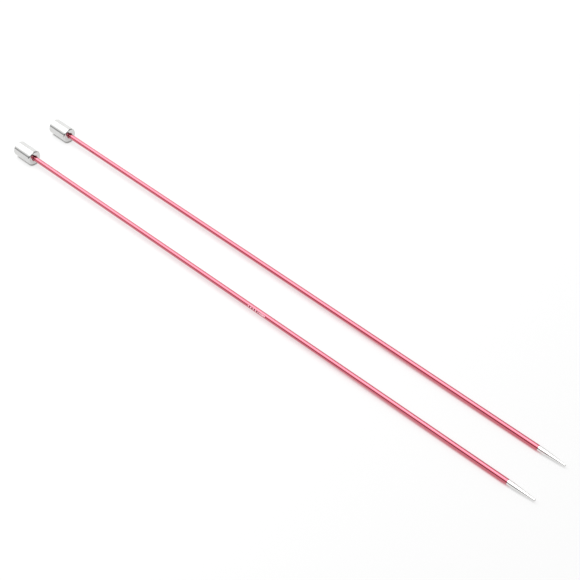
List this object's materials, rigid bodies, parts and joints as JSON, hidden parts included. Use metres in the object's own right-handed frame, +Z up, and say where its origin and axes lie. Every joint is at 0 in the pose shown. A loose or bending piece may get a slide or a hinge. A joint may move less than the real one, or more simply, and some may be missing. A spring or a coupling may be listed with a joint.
{
  "type": "straight knitting needles",
  "caption": "Pair of slim straight knitting needles with hollow pink anodised shafts, bright plated blunt tips and round polished end caps, lying side by side.",
  "frame": {"origin": "on the surface that the needles lie on, midway between the two needles and midway along them", "axes": "+X along the needles from the head caps to the points, +Y from needle 1 to needle 2, +Z up from the surface"},
  "size_m": [0.351, 0.0348, 0.0086],
  "materials": {
    "anodised_shaft": "gloss",
    "plated_tip": "polished",
    "polished_cap": "polished"
  },
  "bodies": {
    "needle_1": {"needle_1_shaft": "anodised_shaft", "needle_1_tip": "plated_tip", "needle_1_head_cap": "polished_cap"},
    "needle_2": {"needle_2_shaft": "anodised_shaft", "needle_2_tip": "plated_tip", "needle_2_head_cap": "polished_cap"}
  },
  "joints": [
    {"name": "needle_2_swing", "type": "hinge", "parent": "needle_1", "child": "needle_2", "pos_m": [0.17449, 0.01225, 0.00128], "axis": [0, 0, -1], "range_deg": [-2.5, 90]}
  ]
}
